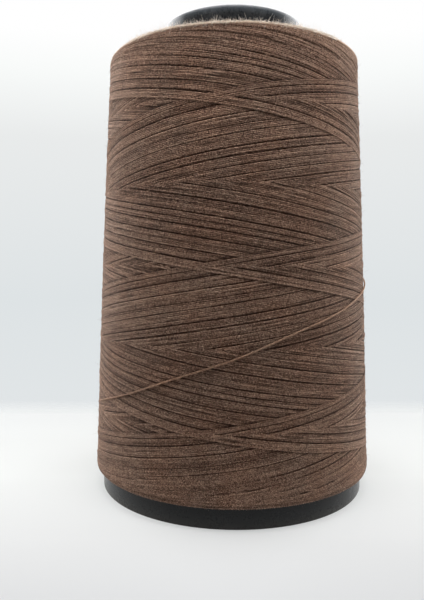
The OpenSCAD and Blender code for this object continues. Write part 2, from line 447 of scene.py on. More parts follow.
def thread_path(rng):
    """Column and height of each sample of the whole thread, and the samples at which the passes begin."""
    passes = thread_passes(rng)
    jitter = rng.uniform(0, TURN_JITTER, len(passes) + 1)
    low = CROSSING_Z - PASS_TURNS / 2 * PITCH
    high = CROSSING_Z + PASS_TURNS / 2 * PITCH
    columns, heights, first = [], [], [0]
    k0 = math.ceil(passes[0][0])
    for j, (start, end, way) in enumerate(passes):
        next_start = passes[j + 1][0] if j + 1 < len(passes) else end
        k1 = round((end + next_start) / 2)
        k = np.arange(k0, k1)
        from_start = (k - start) / COLUMNS
        to_end = (end - k) / COLUMNS
        near_start = from_start < to_end
        u = np.minimum(from_start, to_end)
        h = TURN_ROUND + 2 * np.where(near_start, jitter[j], jitter[j + 1]) / PITCH
        rounded = u * u / (2 * h) + h / 2
        climbed = PITCH * np.where(np.abs(u) < h, rounded, np.abs(u))
        climbed = np.where(near_start, climbed, PASS_TURNS * PITCH - climbed)
        columns.append(k)
        heights.append(low + climbed if way > 0 else high - climbed)
        first.append(first[-1] + len(k))
        k0 = k1
    return np.concatenate(columns), np.concatenate(heights), first


def wandering(rng, column, z):
    """Heights with the small wander that neighbouring turns share, and a smaller one of their own."""
    to_edge = np.minimum(z - FOOT_Z - WANDER_EDGE, TOP_Z - WANDER_EDGE - z)
    inside = np.clip(to_edge / WANDER_FADE, 0, 1)
    shared = sheet_noise(rng, WANDER_ROWS, COLUMNS, *WANDER_STEPS)
    last_row = WANDER_ROWS - 1
    row = np.clip(((z - FOOT_Z) / (TOP_Z - FOOT_Z) * last_row).astype(int), 0, last_row)
    own = line_noise(rng, len(z), *WANDER_OWN)
    return z + inside * (WANDER_SHARED * shared[row, column % COLUMNS] + own)


class Winding:
    """The thread laid on the package, sample by sample."""

    def __init__(self, rng):
        self.column, z, self.first = thread_path(rng)
        self.z = wandering(rng, self.column, z)
        self.rows = int((TOP_Z - FOOT_Z + 2 * MARGIN) / CELL)
        self.z_low = FOOT_Z - MARGIN
        self.surface = np.zeros((self.rows, COLUMNS))
        self.centre = np.zeros(len(z))
        self.lay()
        self.settle()

    def footprint(self, part):
        """Cells of the height field under each sample, and how far each lies beside the thread's middle."""
        cells = int(HALF_W / CELL) + 1
        place = (self.z[part] - self.z_low) / CELL
        row = np.round(place).astype(int)[:, None] + np.arange(-cells, cells + 1)
        column = (self.column[part] % COLUMNS)[:, None]
        return np.clip(row, 0, self.rows - 1), column, (row - place[:, None]) * CELL

    @staticmethod
    def rise(aside, half_w):
        """How far the thread's surface lies over its middle, and where it has any."""
        share = aside / half_w
        return HALF_T * np.sqrt(np.clip(1 - share * share, 0, 1)), np.abs(share) < 1

    def lay(self):
        """Lays the passes one after the other. A thread bridges hollows and rests on what is under it."""
        reach = int(BLUR_REACH * BLUR)
        pad = reach + BRIDGE
        kernel = np.exp(-0.5 * (np.arange(-reach, reach + 1) / BLUR) ** 2)
        kernel /= kernel.sum()
        support = np.zeros(len(self.z))
        for a, b in zip(self.first[:-1], self.first[1:]):
            e = min(b + pad, len(self.z))
            row, column, aside = self.footprint(slice(a, e))
            rise, under = self.rise(aside, CARRIED_HALF_W)
            support[a:e] = np.where(under, self.surface[row, column] + rise, -1).max(axis=1)
            s = max(0, a - pad)
            held = np.pad(support[s:e], BRIDGE, mode="edge")
            held = np.max([held[i:i + e - s] for i in range(2 * BRIDGE + 1)], axis=0)
            held = np.convolve(np.pad(held, reach, mode="edge"), kernel, mode="valid")
            self.centre[a:b] = held[a - s:b - s] - SINK
            n = b - a
            rise, over = self.rise(aside[:n], HALF_W)
            cell = (row[:n] * COLUMNS + column[:n])[over]
            np.maximum.at(self.surface.reshape(-1), cell, (self.centre[a:b, None] + rise)[over])

    def seen(self):
        """Which samples show at the surface once the whole thread is wound."""
        row, column, aside = self.footprint(slice(None))
        rise, over = self.rise(aside, HALF_W)
        near_top = over & (rise > SEEN_CROWN * HALF_T)
        top = self.centre[:, None] + rise
        return (near_top & (top >= self.surface[row, column] - SEEN_SLACK)).any(axis=1)

    def settle(self):
        """Level and spread of the relief round each cell: under tension the package is pressed smooth."""
        self.level = self.mean_round(self.surface, RELIEF_BLUR_Z, RELIEF_BLUR_AROUND)
        square = self.mean_round((self.surface - self.level) ** 2, RELIEF_BLUR_Z, RELIEF_BLUR_AROUND)
        z = self.z_low + CELL * np.arange(self.rows)[:, None]
        inset = np.minimum(z - FOOT_Z, TOP_Z - z)
        calm = EDGE_CALM + (1 - EDGE_CALM) * blend01(inset / EDGE_CALM_WIDTH)
        self.share = calm * RELIEF_SHARE / np.sqrt(1 + square / RELIEF_LIMIT ** 2)
        self.crown = self.mean_round(self.surface, CROWN_BLUR_Z, CROWN_BLUR_AROUND)

    def mean_round(self, field, width_z, width_around):
        """Mean of a field round each cell, over the cells that thread covers."""
        covered = (self.surface > 0).astype(float)
        spread = width_z / CELL, width_around / COLUMN_WIDTH
        return blurred(covered * field, *spread) / np.maximum(blurred(covered, *spread), LEAST_WEIGHT)

    def cells(self, z, column):
        """Row and column of the cells at some heights and columns."""
        row = np.clip(np.round((z - self.z_low) / CELL).astype(int), 0, self.rows - 1)
        return row, column % COLUMNS

    def settled(self, height, z, column):
        """Height over the package's profile, once settled, of a thread's middle as it was laid."""
        row, column = self.cells(z, column)
        return (height - self.level[row, column]) * self.share[row, column]

    def depth(self, height, z, column):
        """How far a thread's middle lies under the crowns round it, less where it is pressed smooth."""
        row, column = self.cells(z, column)
        left = self.share[row, column] / RELIEF_SHARE
        return left * (self.crown[row, column] - height)

    def top(self, z, column):
        """Height of the settled surface over the package's profile."""
        row, column = self.cells(z, column)
        return self.settled(self.surface[row, column] - HALF_T, z, column) + HALF_T


# ------------ meshes

def mesh_object(name, points, corners, sizes, uvs=None, values=None):
    """A piece from points in millimetres, the point of each face corner, and each face's corner count."""
    mesh = bpy.data.meshes.new(name)
    mesh.vertices.add(len(points))
    mesh.vertices.foreach_set("co", (points * MM).astype(np.float32).ravel())
    mesh.loops.add(len(corners))
    mesh.loops.foreach_set("vertex_index", corners.astype(np.int32))
    mesh.polygons.add(len(sizes))
    starts = np.concatenate([[0], np.cumsum(sizes)[:-1]])
    mesh.polygons.foreach_set("loop_start", starts.astype(np.int32))
    mesh.polygons.foreach_set("use_smooth", np.full(len(sizes), True))
    for uv_name, uv in (uvs or {}).items():
        layer = mesh.uv_layers.new(name=uv_name)
        layer.data.foreach_set("uv", uv.astype(np.float32).ravel())
    for value_name, value in (values or {}).items():
        attribute = mesh.attributes.new(value_name, "FLOAT", "POINT")
        attribute.data.foreach_set("value", value.astype(np.float32))
    mesh.update(calc_edges=True)
    mesh.validate()
    piece = bpy.data.objects.new(name, mesh)
    bpy.context.scene.collection.objects.link(piece)
    return piece


def unit(v):
    """Vectors at length 1."""
    return v / np.maximum(np.linalg.norm(v, axis=-1, keepdims=True), 1e-12)


def ring_angles(sides):
    """Angles of a ring's points, from its outermost one."""
    return FULL_TURN / 4 + FULL_TURN * np.arange(sides) / sides


def tube_rings(path, outward, run_of, half_w, half_t, sides):
    """Points of elliptical rings square to a path of one or more runs."""
    way = np.zeros_like(path)
    same_next = run_of[1:] == run_of[:-1]
    step = (path[1:] - path[:-1]) * same_next[:, None]
    way[:-1] += step
    way[1:] += step
    way = unit(way)
    side = unit(np.cross(way, outward))
    up = np.cross(side, way)
    phi = ring_angles(sides)
    half_w = np.broadcast_to(half_w, len(path))[:, None, None]
    half_t = np.broadcast_to(half_t, len(path))[:, None, None]
    aside = half_w * np.cos(phi)[None, :, None] * side[:, None]
    return path[:, None] + (aside + half_t * np.sin(phi)[None, :, None] * up[:, None])


def strips(lengths):
    """Places the steps of all runs in rows of a square picture: left and bottom of each, and its scale."""
    rows = BAKE_SIZE // STRIP_ROW - 1
    width = lengths.sum() / rows + lengths.max()
    scale = 1 / (width + 2 * lengths.max())
    start = np.concatenate([[0], np.cumsum(lengths)[:-1]])
    row = np.floor(start / width)
    return (start - row * width) * scale, (row * STRIP_ROW + STRIP_EDGE) / BAKE_SIZE, scale


def tubes(name, path, rings, run_of, values):
    """One piece of closed tubes, one for each run, with a map along the thread and a map for baking."""
    count, sides = rings.shape[:2]
    step = np.nonzero(run_of[1:] == run_of[:-1])[0]
    lengths = np.linalg.norm(path[step + 1] - path[step], axis=1)
    j = np.arange(sides)
    near, far = step[:, None] * sides, (step[:, None] + 1) * sides
    quads = np.stack([near + j, far + j, far + (j + 1) % sides, near + (j + 1) % sides], axis=2)
    first = np.nonzero(np.concatenate([[True], run_of[1:] != run_of[:-1]]))[0]
    last = np.concatenate([first[1:] - 1, [count - 1]])
    caps = np.concatenate([first[:, None] * sides + j[::-1], last[:, None] * sides + j])
    corners = np.concatenate([quads.ravel(), caps.ravel()])
    sizes = np.concatenate([np.full(len(step) * sides, 4), np.full(len(caps), sides)])

    v0, v1 = j / sides, (j + 1) / sides
    along = np.zeros(count)
    along[step + 1] = lengths / PLY_PITCH
    along = np.cumsum(along)
    u0, u1 = along[step][:, None], along[step + 1][:, None]
    thread_map = side_map(u0, u1, v0, v1)
    left, bottom, scale = strips(lengths)
    right = left + lengths * scale
    height = (STRIP_ROW - 2 * STRIP_EDGE) / BAKE_SIZE
    b0, b1 = bottom[:, None] + height * v0, bottom[:, None] + height * v1
    bake_map = side_map(left[:, None], right[:, None], b0, b1)

    ends = np.concatenate([first, last])
    at = np.concatenate([np.searchsorted(step, first), np.searchsorted(step, last) - 1])
    thread_caps = cap_map(along[ends], np.full(len(ends), 0.5), CAP_RADIUS_ALONG, sides)
    bake_caps = cap_map((left[at] + right[at]) / 2, bottom[at] + height / 2, CAP_RADIUS_BAKE, sides)
    uvs = {
        "thread": np.concatenate([thread_map, thread_caps]),
        "OFBake": np.concatenate([bake_map, bake_caps]),
    }
    point_values = {key: np.repeat(v, sides) if v.ndim == 1 else v.ravel() for key, v in values.items()}
    return mesh_object(name, rings.reshape(-1, 3), corners, sizes, uvs, point_values)


def side_map(u0, u1, v0, v1):
    """Map coordinates of the four corners of each side face."""
    return np.stack(np.broadcast_arrays(u0, v0, u1, v0, u1, v1, u0, v1), axis=-1).reshape(-1, 2)


def cap_map(u, v, radius, sides):
    """Map coordinates of end faces: small polygons, so that none of them is without width."""
    phi = FULL_TURN * np.arange(sides) / sides
    around = radius * np.stack([np.cos(phi), np.sin(phi)], axis=1)
    return (np.stack([u, v], axis=1)[:, None] + around).reshape(-1, 2)


# ------------ pieces of thread

def polar(r, angle, z):
    """Points in millimetres from radius, angle in radians and height."""
    return np.stack([r * np.cos(angle), r * np.sin(angle), np.broadcast_to(z, np.shape(r))], axis=-1)


def outward_at(angle):
    """Outward direction of the package's wall."""
    return np.stack([np.cos(angle), np.sin(angle), np.full(np.shape(angle), WALL_TILT)], axis=-1)


def seen_runs(seen):
    """First and last sample of each stretch of thread that shows, with some room at both ends."""
    grown = np.convolve(seen, np.ones(2 * RUN_ROOM + 1), "same") > 0.5
    change = np.diff(np.concatenate([[0], grown.astype(np.int8), [0]]))
    return np.nonzero(change == 1)[0], np.nonzero(change == -1)[0] - 1


def run_samples(starts, ends):
    """Samples at which the rings of all runs lie, and the run of each."""
    counts = np.maximum(2, np.round((ends - starts) / RING_STEP).astype(int) + 1)
    run_of = np.repeat(np.arange(len(starts)), counts)
    place = np.arange(counts.sum()) - np.repeat(np.cumsum(counts) - counts, counts)
    share = place / (counts[run_of] - 1)
    return np.round(starts[run_of] + share * (ends - starts)[run_of]).astype(int), run_of, counts


def winding_pieces(rng, winding, material):
    """The thread in view, in time order, as pieces of closed tubes."""
    starts, ends = seen_runs(winding.seen())
    samples, run_of, counts = run_samples(starts, ends)
    z = winding.z[samples]
    column = winding.column[samples] % COLUMNS
    angle = column * FULL_TURN / COLUMNS
    height = winding.settled(winding.centre[samples], z, column)
    path = polar(package_radius(z) + height - PROFILE_DROP, angle, z)

    thick = 1 + line_noise(rng, len(winding.z), *THICKNESS)[samples]
    rings = tube_rings(path, outward_at(angle), run_of, HALF_W * thick, HALF_T * thick, TUBE_SIDES)

    # Depth under the crowns and down each tube's flank, for the painted shade in the colour
    under = winding.depth(winding.centre[samples], z, column)
    depth = under[:, None] - HALF_T * np.sin(ring_angles(TUBE_SIDES))
    pass_of = np.searchsorted(winding.first, samples, side="right") - 1
    bundle = line_noise(rng, len(winding.first), *BUNDLE_TONE)
    own = PASS_TONE * rng.standard_normal(len(winding.first))
    slow = line_noise(rng, len(winding.z), *SLOW_TONE)[samples]
    tint = MEAN_TONE + bundle[pass_of] + own[pass_of] + slow

    triangles = np.cumsum((counts - 1) * 2 * TUBE_SIDES + 2 * (TUBE_SIDES - 2))
    piece_of_run = triangles // PIECE_TRIANGLES
    for number in range(piece_of_run[-1] + 1):
        part = piece_of_run[run_of] == number
        values = {"tint": tint[part], "depth": depth[part]}
        piece = tubes(f"outer_turns_{number + 1:02d}", path[part], rings[part], run_of[part], values)
        finish_piece(piece, material, "outer_winding")


def end_profile(inner_r, outer_r, edge_z, edge_round, dish, side):
    """Where the turns of an end face lie: radius, height and outward direction, from inside to the wall."""
    centre_r = outer_r - edge_round
    face_r = np.arange(inner_r, centre_r, END_STEP)
    face_drop = dish * (centre_r - face_r) / (centre_r - inner_r)
    count = int(edge_round * FULL_TURN / 4 / END_STEP)
    turn = np.linspace(0, FULL_TURN / 4, count + 1)
    r = np.concatenate([face_r, centre_r + edge_round * np.sin(turn)])
    inset = np.concatenate([face_drop, edge_round * (1 - np.cos(turn))])
    tilt = np.concatenate([np.zeros(len(face_r)), turn])
    return r, edge_z - side * inset, tilt


def end_turns(rng, name, profile, side, rub_and_highlight, material):
    """The turns that show on an end face: short arcs side by side that dip back into the package.

    The turns on the rounded edge are painted paler than the others, a painted highlight.
    """
    path, outward, run_of, tint, depth = [], [], [], [], []
    run = 0
    for r, z, tilt in zip(*profile):
        at = rng.uniform(0, FULL_TURN)
        stop = at + FULL_TURN
        while at < stop:
            span = min(rng.uniform(*END_ARC), stop - at + END_OVERLAP)
            count = max(END_LEAST_RINGS, int(span * r / END_RING_STEP))
            angle = at + np.linspace(0, span, count)
            along = (angle - at) * r
            to_end = np.minimum(along, along[-1] - along)
            dip = END_DIP * (1 - blend01(to_end / END_DIP_LENGTH)) - rng.uniform(0, END_UNEVEN)
            stray = line_noise(rng, count, *END_STRAY)
            normal_r, normal_z = np.sin(tilt), side * np.cos(tilt)
            line_r = r - (dip + HALF_T) * normal_r + stray * np.cos(tilt)
            line_z = z - (dip + HALF_T) * normal_z - stray * side * np.sin(tilt)
            # The rounded edge's paler tone is a painted highlight
            tone = MEAN_TONE + END_TONE * rng.standard_normal() + rub_and_highlight * np.sin(tilt)
            path.append(polar(line_r, angle, line_z))
            outward.append(polar(np.full(count, normal_r), angle, np.full(count, normal_z)))
            run_of.append(np.full(count, run))
            tint.append(np.full(count, tone))
            depth.append(dip + HALF_T)
            run += 1
            at += span - END_LAP
    path, outward, run_of = np.concatenate(path), np.concatenate(outward), np.concatenate(run_of)
    rings = tube_rings(path, outward, run_of, HALF_W, HALF_T, TUBE_SIDES)
    # Depth where the arcs dip into the package and down each tube's flank, for the painted shade in the
    # colour
    depth = np.concatenate(depth)[:, None] - HALF_T * np.sin(ring_angles(TUBE_SIDES))
    piece = tubes(name, path, rings, run_of, {"tint": np.concatenate(tint), "depth": depth})
    finish_piece(piece, material, "thread_package")


def packed_thread(material):
    """The closed mass of older turns that lies under the turns in view."""
    low, high = FOOT_Z + UNDER_FOOT, TOP_Z - UNDER_TOP
    wall_z = np.linspace(low, high, PACKED_ROWS)
    bore_z = np.array([high - TOP_DISH, low])
    r = np.concatenate([package_radius(wall_z) - UNDER_TURNS, barrel_radius(bore_z) + PACKED_FIT])
    z = np.concatenate([wall_z, bore_z])
    around, n = PACKED_COLUMNS, len(r)
    angle = FULL_TURN * np.arange(around) / around
    points = polar(np.broadcast_to(r, (around, n)), angle[:, None], np.broadcast_to(z, (around, n)))
    i, j = np.meshgrid(np.arange(around), np.arange(n), indexing="ij")
    i2, j2 = (i + 1) % around, (j + 1) % n
    corners = np.stack([i * n + j, i2 * n + j, i2 * n + j2, i * n + j2], axis=-1).ravel()
    length = np.cumsum(np.hypot(np.diff(r, append=r[0]), np.diff(z, append=z[0])))
    v = np.concatenate([[0], length]) / length[-1]
    bake = side_map(i / around, (i + 1) / around, v[j], v[j + 1])
    sizes = np.full(around * n, 4)
    piece = mesh_object("packed_turns", points.reshape(-1, 3), corners, sizes, {"OFBake": bake})
    finish_piece(piece, material, "thread_package")


def fibres(rng, name, root, outward, length, radius, material, lean, steps):
    """Stray fibres: thin tapering hairs that stand out of the thread and curl over."""
    count = len(root)
    stray = unit(rng.standard_normal((count, 3)))
    way = unit(outward * lean + stray)
    curl = unit(rng.standard_normal((count, 3))) * FIBRE_CURL
    length = length[:, None]
    line = [root + way * length * t + curl * length * t * t * 0.5 for t in steps]
    path = np.stack(line, axis=1)
    # Lift what goes back under the surface
    rise = ((path - root[:, None]) * outward[:, None]).sum(-1, keepdims=True)
    path = path - np.minimum(rise, 0) * outward[:, None] * FIBRE_LIFT
    path = path.reshape(-1, 3)
    run_of = np.repeat(np.arange(count), len(steps))
    taper = np.tile(1 - FIBRE_TAPER * np.square(steps), count)
    radii = np.repeat(radius, len(steps)) * taper
    side = np.repeat(unit(np.cross(outward, rng.standard_normal((count, 3)))), len(steps), axis=0)
    rings = tube_rings(path, side, run_of, radii, radii, FIBRE_SIDES)
    values = {"tint": np.repeat(rng.uniform(0, 1, count), len(steps))}
    finish_piece(tubes(name, path, rings, run_of, values), material, "outer_winding")


def wall_fuzz(rng, winding, material):
    """Stray fibres all over the wall of the package."""
    count, length_range, radius_range, lean = WALL_FUZZ
    angle = rng.uniform(0, FULL_TURN, count)
    z = rng.uniform(FOOT_Z + WALL_EDGE, TOP_Z - WALL_EDGE, count)
    top = winding.top(z, (angle / FULL_TURN * COLUMNS).astype(int))
    root = polar(package_radius(z) + top - PROFILE_DROP - WALL_ROOT, angle, z)
    length = rng.uniform(*length_range, count) * rng.uniform(*WALL_CUT, count)
    radius = rng.uniform(*radius_range, count)
    fibres(rng, "wall_fuzz", root, outward_at(angle), length, radius, material, lean, HAIR_STEPS)


def rim_fuzz(rng, name, edge, fuzz, material, steps):
    """Stray fibres along an edge of the package, in a band that reaches in over its end face."""
    edge_z, edge_round, side = edge
    count, length_range, radius_range, band, lean = fuzz
    angle = rng.uniform(0, FULL_TURN, count)
    turn = rng.uniform(0, FULL_TURN / 4, count) * (rng.uniform(0, 1, count) < RIM_ROUND_SHARE)
    centre_r = package_radius(np.array(edge_z - side * edge_round)) - edge_round
    inward = band * rng.uniform(0, 1, count) * (turn == 0)
    r = centre_r + (edge_round - RIM_ROOT) * np.sin(turn) - inward
    z = edge_z - side * (edge_round + RIM_ROOT - edge_round * np.cos(turn))
    outward = polar(np.sin(turn), angle, side * np.cos(turn))
    whole = blend01((np.abs(np.sin(angle)) - WORN_SINE) / (WHOLE_SINE - WORN_SINE))
    length = rng.uniform(*length_range, count) * (WORN_LENGTH + (1 - WORN_LENGTH) * whole)
    radius = rng.uniform(*radius_range, count)
    fibres(rng, name, polar(r, angle, z), outward, length, radius, material, lean, steps)


def last_turn_path(winding):
    """Middle of the last turn on the package: it bridges what it lies on, and lifts off it here and there."""
    knots = np.array(LAST_TURN)
    degrees = np.arange(knots[0, 0], knots[-1, 0], -LAST_STEP)
    z = curve_through(knots[:, 0], knots[:, 1], degrees)
    column = np.round(degrees / 360 * COLUMNS).astype(int) % COLUMNS
    under = np.max([winding.top(z + k * CELL, column) for k in LAST_UNDER], axis=0) - PROFILE_DROP
    reach = int(LAST_BRIDGE / LAST_STEP)
    held = np.max([np.roll(under, k) for k in range(-reach, reach + 1, LAST_BRIDGE_STEP)], axis=0)
    kernel = np.hanning(2 * reach + 1)
    held = np.convolve(np.pad(held, reach, mode="edge"), kernel / kernel.sum(), mode="valid")
    lift = curve_through(knots[:, 0], knots[:, 2], degrees)
    return polar(package_radius(z) + held + lift, np.radians(degrees), z)


def last_turn_end(path):
    """Middle of the last turn's end: down past the package's edge, then into the flange's slit."""
    slit = math.radians(SLIT_ANGLE)
    mouth = np.array([math.cos(slit), math.sin(slit), 0.0])
    outside, near, inside = (
        mouth * (FLANGE_R + reach) + [0, 0, SLIT_Z] for reach in (DROP_BULGE, DROP_END, -TAIL_LENGTH)
    )
    end = path[-1]
    pulled = end + DROP_PULL * unit(path[-1] - path[-4])
    t = np.linspace(0, 1, DROP_RINGS)[1:, None]
    s = 1 - t
    drop = s ** 3 * end + 3 * t * s ** 2 * pulled + 3 * t * t * s * outside + t ** 3 * near
    tail = near + (inside - near) * np.linspace(0, 1, TAIL_RINGS)[1:, None]
    return np.concatenate([drop, tail])


def last_turn(rng, winding, material):
    """The last turn: it lies loose over the others, and its end goes down behind into the flange's slit."""
    path = last_turn_path(winding)
    path = np.concatenate([path, last_turn_end(path)])
    outward = unit(path * [1, 1, 0] + [0, 0, 1e-3])
    outward[1 - TAIL_RINGS - TAIL_TURN_RINGS:] = [0, 0, 1]
    run_of = np.zeros(len(path), int)
    spokes = tube_rings(path, outward, run_of, 1.0, 1.0, LAST_SIDES) - path[:, None]
    length = np.concatenate([[0], np.cumsum(np.linalg.norm(np.diff(path, axis=0), axis=1))])
    phi = FULL_TURN * np.arange(LAST_SIDES) / LAST_SIDES
    lobe = np.abs(np.cos(PLIES / 2 * (phi - FULL_TURN * length[:, None] / PLY_PITCH)))
    slub = 1 + line_noise(rng, len(path), *LAST_SLUB)
    radius = LAST_RADIUS * slub[:, None] * (LAST_WAIST + (1 - LAST_WAIST) * lobe)
    rings = path[:, None] + spokes * radius[..., None]
    # Painted light, paler to the right, and painted shade in the waists between the plies
    paler = LAST_PALER * path[:, 0] / package_radius(path[:, 2])
    slow = line_noise(rng, len(path), *LAST_SLOW_TONE)
    crown, waist = LAST_LOBE_DEPTH
    values = {"tint": LAST_TONE + paler + slow, "depth": waist + (crown - waist) * lobe}
    piece = tubes("last_turn", path, rings, run_of, values)
    finish_piece(piece, material, "loose_last_turn")


def curve_through(x, y, at):
    """Smooth curve through points with falling x, by cubic pieces with even slopes."""
    x, y = -x, y
    at = -at
    slope = np.gradient(y, x)
    k = np.clip(np.searchsorted(x, at, side="right") - 1, 0, len(x) - 2)
    w = x[k + 1] - x[k]
    t = (at - x[k]) / w
    return ((2 * t ** 3 - 3 * t ** 2 + 1) * y[k] + (t ** 3 - 2 * t ** 2 + t) * w * slope[k]
            + (-2 * t ** 3 + 3 * t ** 2) * y[k + 1] + (t ** 3 - t ** 2) * w * slope[k + 1])


def finish_piece(piece, material, node):
    """Gives a piece its material and its body, and hides the CAD node that it stands for."""
    piece.data.materials.append(material)
    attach(piece, "root")
    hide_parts(node)


# ------------ materials

class Nodes:
    """Short way to write the nodes of a material or of the world."""

    def __init__(self, owner):
        self.owner = owner
        owner.use_nodes = True
        self.tree = owner.node_tree

    def add(self, kind, inputs=None, **settings):
        """A new node, with values or links for its inputs."""
        node = self.tree.nodes.new(kind)
        for key, value in settings.items():
            setattr(node, key, value)
        for key, value in (inputs or {}).items():
            self.put(node.inputs[key], value)
        return node

    def put(self, socket, value):
        """Sets an input to a value, or links it to an output."""
        if isinstance(value, bpy.types.NodeSocket):
            self.tree.links.new(value, socket)
        else:
            socket.default_value = value

    def math(self, operation, *values):
        node = self.add("ShaderNodeMath", operation=operation)
        for socket, value in zip(node.inputs, values):
            self.put(socket, value)
        return node.outputs[0]

    def total(self, *values):
        """Sum of any number of values."""
        result = values[0]
        for value in values[1:]:
            result = self.math("ADD", result, value)
        return result

    def attribute(self, name):
        return self.add("ShaderNodeAttribute", attribute_name=name).outputs["Fac"]

    def place(self, kind="Object"):
        """X, Y and Z on the object, or of a direction in the world."""
        vector = self.add("ShaderNodeTexCoord").outputs[kind]
        return self.add("ShaderNodeSeparateXYZ", {"Vector": vector}).outputs

    def noise(self, scale, detail=2.0, vector=None, roughness=0.5):
        place = vector or self.add("ShaderNodeTexCoord").outputs["Object"]
        inputs = {"Vector": place, "Scale": scale, "Detail": detail, "Roughness": roughness}
        return self.add("ShaderNodeTexNoise", inputs).outputs["Fac"]

    def ramp(self, value, stops):
        node = self.add("ShaderNodeValToRGB", {"Fac": value})
        elements = node.color_ramp.elements
        while len(elements) < len(stops):
            elements.new(0.5)
        for element, (position, colour) in zip(elements, stops):
            element.position = position
            element.color = (*colour, 1)
        return node.outputs["Color"]

    def vector_math(self, operation, inputs):
        return self.add("ShaderNodeVectorMath", inputs, operation=operation).outputs[0]

    def tinted(self, colour, tint):
        return self.vector_math("MULTIPLY", {0: colour, 1: tint})

    def added(self, colour, more):
        return self.vector_math("ADD", {0: colour, 1: more})

    def scaled(self, colour, factor):
        return self.vector_math("SCALE", {0: colour, "Scale": factor})

    def mapped(self, value, low, high, to_low=0.0, to_high=1.0):
        inputs = {"Value": value, "From Min": low, "From Max": high, "To Min": to_low, "To Max": to_high}
        return self.add("ShaderNodeMapRange", inputs).outputs["Result"]

    def swing(self, noise, low, high):
        """Noise stretched so that most of it fills a range."""
        return self.mapped(noise, *NOISE_MIDDLE, low, high)

    def bump(self, height, distance, strength=1.0):
        inputs = {"Height": height, "Distance": distance, "Strength": strength}
        return self.add("ShaderNodeBump", inputs).outputs["Normal"]

    def mixed(self, share, under, over):
        return self.add("ShaderNodeMixShader", {0: share, 1: under, 2: over}).outputs[0]

    def surface(self, **inputs):
        """The material, with values or links for the inputs of its Principled shader."""
        shader = self.tree.nodes["Principled BSDF"]
        for key, value in inputs.items():
            self.put(shader.inputs[key.replace("_", " ")], value)
        return self.owner


def new_material(name):
    return Nodes(bpy.data.materials.new(name))


def thread_material(name, stops, sheen, ply_shade):
    """Matt spun thread: twisted plies, short hairs, colour that varies from turn to turn, and painted shade
    in the grooves and between the plies.
    """
    n = new_material(name)
    uv = n.add("ShaderNodeUVMap", uv_map="thread").outputs["UV"]
    parts = n.add("ShaderNodeSeparateXYZ", {"Vector": uv}).outputs
    uneven = n.noise(PLY_UNEVEN_SCALE, vector=uv)
    phase = n.math("ADD", n.math("SUBTRACT", parts["Y"], parts["X"]), uneven)
    ply = n.math("ABSOLUTE", n.math("COSINE", n.math("MULTIPLY", phase, PLIES * math.pi)))
    fleck = n.noise(1.0, vector=n.tinted(uv, (*FLECKS, 1.0)), roughness=0.6)
    fuzz = n.noise(FUZZ_SCALE, roughness=0.65)
    tone = n.total(
        n.attribute("tint"),
        n.swing(fleck, -FLECK_TONE, FLECK_TONE),
        n.swing(fuzz, -FUZZ_TONE, FUZZ_TONE),
        n.mapped(n.noise(LINT_SCALE, 1.0), *LINT_PEAKS, 0.0, LINT_TONE),
        n.swing(n.noise(BLOTCH_SCALE, 3.0), -BLOTCH_TONE, BLOTCH_TONE),
        n.swing(n.noise(WIDE_SCALE), -BLOTCH_TONE, BLOTCH_TONE),
    )
    hue = n.ramp(n.mapped(n.noise(HUE_SCALE, 3.0), 0.35, 0.65), HUE_STOPS)
    # Painted shade: the colour gets darker and redder with depth, into the grooves and down the flanks
    deep = n.ramp(n.mapped(n.attribute("depth"), CROWN_DEPTH, DEEP_DEPTH), PAINTED_SHADE_STOPS)
    colour = n.tinted(n.tinted(n.ramp(tone, stops), hue), deep)
    height = n.math("ADD", n.math("MULTIPLY", ply, PLY_BUMP), n.math("MULTIPLY", fuzz, FUZZ_BUMP))
    return n.surface(
        # Painted shade between the plies: the colour darkens in their waists
        Base_Color=n.scaled(colour, n.mapped(ply, 0.0, 0.5, 1 - ply_shade, 1.0)),
        Roughness=n.swing(fuzz, 0.82, 0.96),
        Specular_IOR_Level=0.15,
        Sheen_Weight=sheen,
        Sheen_Roughness=0.45,
        Sheen_Tint=(*SHEEN_TINT, 1),
        Normal=n.bump(height, THREAD_BUMP),
    )


def packed_material():
    """The older turns deep in the package: rows of thread, painted dark as painted shade."""
    n = new_material("packed_thread")
    high = n.place()["Z"]
    row = n.math("SINE", n.math("MULTIPLY", high, FULL_TURN / (MEAN_STEP * MM)))
    tone = n.math("ADD", n.mapped(row, -1, 1, 0.2, 0.6), n.swing(n.noise(PACKED_SCALE, 3.0), -0.2, 0.2))
    return n.surface(
        Base_Color=n.ramp(tone, PACKED_SHADE_STOPS),
        Roughness=n.mapped(tone, 0, 1, 0.95, 0.85),
        Specular_IOR_Level=0.15,
        Normal=n.bump(row, PACKED_BUMP),
    )


def fibre_material(name, stops):
    """Stray fibres, each a little paler or darker."""
    n = new_material(name)
    tone = n.math("ADD", n.attribute("tint"), n.swing(n.noise(FIBRE_SCALE), -0.2, 0.2))
    return n.surface(
        Base_Color=n.ramp(tone, stops),
        Roughness=n.mapped(tone, 0, 1, 0.6, 0.8),
        Specular_IOR_Level=0.3,
        Sheen_Weight=0.3,
    )


